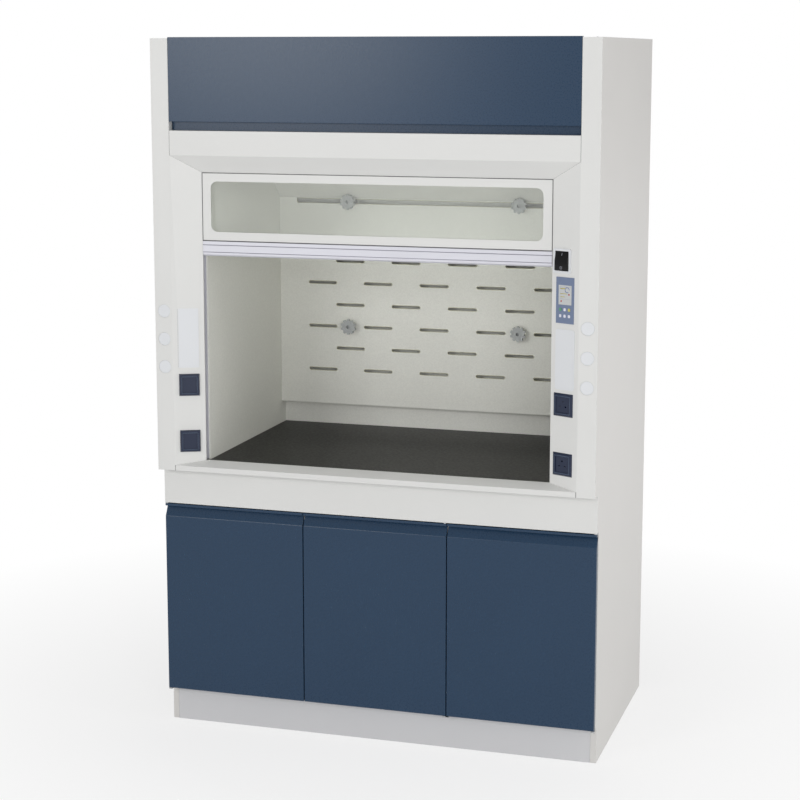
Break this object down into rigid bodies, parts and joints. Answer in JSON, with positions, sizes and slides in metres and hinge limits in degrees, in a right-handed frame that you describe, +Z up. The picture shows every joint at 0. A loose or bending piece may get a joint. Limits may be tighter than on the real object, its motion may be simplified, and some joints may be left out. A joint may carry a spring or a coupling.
{
  "type": "fume hood",
  "caption": "Free-standing fume hood: bevelled mouth, counterbalanced sliding sash, slotted baffle and glossy worktop, on a base cabinet with flush doors.",
  "frame": {"origin": "middle of the footprint on the floor", "axes": "+X to the viewer's right, +Y from the sash to the back, +Z up"},
  "size_m": [1.5, 0.9, 2.35],
  "materials": {
    "white_paint": "satin powder coat",
    "side_paint": "satin powder coat",
    "plinth_paint": "satin powder coat",
    "blue_paint": "satin powder coat",
    "black_slab": "glossy cast resin",
    "laminate": "matt compact laminate",
    "clear_glass": "clear toughened glass",
    "aluminium_rail": "white-anodised extrusion",
    "steel": "plain zinc-plated steel",
    "cast_weight": "raw casting",
    "grey_knob": "moulded",
    "navy_plastic": "moulded",
    "white_plastic": "moulded",
    "panel_blue": "membrane over moulding",
    "screen": "back-lit screen",
    "black_plastic": "moulded",
    "key_white": "moulded",
    "key_green": "moulded",
    "key_yellow": "moulded",
    "diffuser": "opal diffuser"
  },
  "bodies": {
    "frame": {"side_panel_left": "side_paint", "side_panel_right": "side_paint", "back_panel": "side_paint", "roof_panel": "side_paint", "exhaust_spigot": "steel", "base_floor": "white_paint", "base_top": "white_paint", "partitions": "white_paint", "apron": "white_paint", "plinth": "plinth_paint", "levelling_feet": "steel", "door_pivots": "steel", "post_left": "white_paint", "post_right": "white_paint", "lintel": "white_paint", "sill": "white_paint", "fascia": "blue_paint", "window_frame": "white_paint", "window_pane": "clear_glass", "worktop": "black_slab", "side_liners": "laminate", "back_liner": "laminate", "ceiling": "laminate", "lamp_housing": "white_paint", "lamp_lens": "diffuser", "baffle_lower": "laminate", "baffle_upper": "laminate", "baffle_studs": "steel", "seal_blade": "white_paint", "sash_guides": "aluminium_rail", "sash_cables": "steel", "weight_cables": "steel", "cable_wraps": "steel", "pulley_brackets": "steel", "sockets": "navy_plastic", "post_covers": "white_plastic", "service_plugs": "white_plastic", "switch_frame": "white_plastic", "control_bezel": "panel_blue", "display": "screen"},
    "sash": {"sash_glass": "clear_glass", "sash_handle": "aluminium_rail", "sash_stiles": "aluminium_rail"},
    "counterweights": {"counterweights": "cast_weight"},
    "pulley_left": {"pulley_left": "black_plastic"},
    "pulley_right": {"pulley_right": "black_plastic"},
    "rocker": {"rocker": "black_plastic"},
    "door_left": {"door_left": "blue_paint"},
    "door_middle": {"door_middle": "blue_paint"},
    "door_right": {"door_right": "blue_paint"},
    "knob_1": {"knob_1": "grey_knob"},
    "knob_2": {"knob_2": "grey_knob"},
    "knob_3": {"knob_3": "grey_knob"},
    "knob_4": {"knob_4": "grey_knob"},
    "key_1": {"key_1": "key_green"},
    "key_2": {"key_2": "key_white"},
    "key_3": {"key_3": "key_yellow"},
    "key_4": {"key_4": "key_white"},
    "key_5": {"key_5": "key_white"},
    "key_6": {"key_6": "key_white"}
  },
  "joints": [
    {"name": "sash_slide", "type": "slide", "parent": "frame", "child": "sash", "axis": [0, 0, -1], "range_m": [0, 0.693], "deforming": ["sash_cables"]},
    {"name": "counterweight_slide", "type": "slide", "parent": "frame", "child": "counterweights", "axis": [0, 0, 1], "range_m": [0, 0.694], "deforming": ["weight_cables"]},
    {"name": "pulley_left_turn", "type": "hinge", "parent": "frame", "child": "pulley_left", "pos_m": [-0.613, -0.3305, 2.275], "axis": [1, 0, 0], "continuous": true},
    {"name": "pulley_right_turn", "type": "hinge", "parent": "frame", "child": "pulley_right", "pos_m": [0.613, -0.3305, 2.275], "axis": [1, 0, 0], "continuous": true},
    {"name": "door_left_swing", "type": "hinge", "parent": "frame", "child": "door_left", "pos_m": [-0.744, -0.397, 0.45], "axis": [0, 0, -1], "range_deg": [0, 110]},
    {"name": "door_middle_swing", "type": "hinge", "parent": "frame", "child": "door_middle", "pos_m": [0.2435, -0.397, 0.45], "axis": [0, 0, 1], "range_deg": [0, 110]},
    {"name": "door_right_swing", "type": "hinge", "parent": "frame", "child": "door_right", "pos_m": [0.744, -0.397, 0.45], "axis": [0, 0, 1], "range_deg": [0, 110]},
    {"name": "rocker_tilt", "type": "hinge", "parent": "frame", "child": "rocker", "pos_m": [0.62879, -0.42313, 1.6565], "axis": [0.9074, -0.4203, 0], "range_deg": [0, 12]},
    {"name": "knob_1_turn", "type": "hinge", "parent": "frame", "child": "knob_1", "pos_m": [-0.318, 0.29, 1.768], "axis": [0, -1, 0], "continuous": true},
    {"name": "knob_2_turn", "type": "hinge", "parent": "frame", "child": "knob_2", "pos_m": [0.318, 0.29, 1.768], "axis": [0, -1, 0], "continuous": true},
    {"name": "knob_3_turn", "type": "hinge", "parent": "frame", "child": "knob_3", "pos_m": [-0.318, 0.29, 1.312], "axis": [0, -1, 0], "continuous": true},
    {"name": "knob_4_turn", "type": "hinge", "parent": "frame", "child": "knob_4", "pos_m": [0.318, 0.29, 1.312], "axis": [0, -1, 0], "continuous": true},
    {"name": "key_1_press", "type": "slide", "parent": "frame", "child": "key_1", "axis": [0.4203, 0.9074, 0], "range_m": [0, 0.001], "stiffness_N_per_m": 250, "springref_m": -0.001},
    {"name": "key_2_press", "type": "slide", "parent": "frame", "child": "key_2", "axis": [0.4203, 0.9074, 0], "range_m": [0, 0.001], "stiffness_N_per_m": 250, "springref_m": -0.001},
    {"name": "key_3_press", "type": "slide", "parent": "frame", "child": "key_3", "axis": [0.4203, 0.9074, 0], "range_m": [0, 0.001], "stiffness_N_per_m": 250, "springref_m": -0.001},
    {"name": "key_4_press", "type": "slide", "parent": "frame", "child": "key_4", "axis": [0.4203, 0.9074, 0], "range_m": [0, 0.001], "stiffness_N_per_m": 250, "springref_m": -0.001},
    {"name": "key_5_press", "type": "slide", "parent": "frame", "child": "key_5", "axis": [0.4203, 0.9074, 0], "range_m": [0, 0.001], "stiffness_N_per_m": 250, "springref_m": -0.001},
    {"name": "key_6_press", "type": "slide", "parent": "frame", "child": "key_6", "axis": [0.4203, 0.9074, 0], "range_m": [0, 0.001], "stiffness_N_per_m": 250, "springref_m": -0.001}
  ],
  "couplings": [
    {"joint": "counterweight_slide", "follows": "sash_slide", "ratio": 1},
    {"joint": "pulley_left_turn", "follows": "sash_slide", "rad_per_m": 18.182},
    {"joint": "pulley_right_turn", "follows": "sash_slide", "rad_per_m": 18.182}
  ]
}
